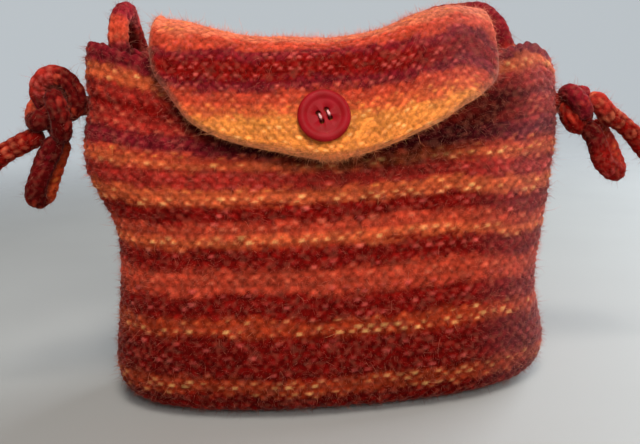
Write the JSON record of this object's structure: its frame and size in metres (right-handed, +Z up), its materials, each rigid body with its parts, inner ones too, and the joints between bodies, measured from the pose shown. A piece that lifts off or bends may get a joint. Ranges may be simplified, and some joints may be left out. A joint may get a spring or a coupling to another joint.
{
  "type": "knitted purse",
  "caption": "Soft knitted wool purse with striped rounds, an open mouth under a rounded front flap with a button, and a round knitted cord strap knotted outside a hole in each side.",
  "frame": {"origin": "middle of the flat base, on the surface that the purse stands on", "axes": "+X to the right across the front, +Y from the flap's front towards the back, +Z up"},
  "size_m": [0.3621, 0.1071, 0.1951],
  "materials": {
    "body_wool": "knitted wool, lightly felted and fuzzy, striped in burgundy, crimson, orange and gold",
    "flap_wool": "knitted wool, lightly felted and fuzzy, banded in orange, burgundy and gold",
    "cord_wool": "knitted round cord of the same wool",
    "button_plastic": "smooth red plastic",
    "button_thread": "pale sewing thread"
  },
  "bodies": {
    "root": {"bag_body": "body_wool", "flap": "flap_wool", "button": "button_plastic", "button_stitch_left": "button_thread", "button_stitch_right": "button_thread", "strap": "cord_wool", "left_knot": "cord_wool", "left_loop": "cord_wool", "left_tail": "cord_wool", "right_knot": "cord_wool", "right_loop": "cord_wool", "right_tail": "cord_wool"}
  },
  "joints": []
}
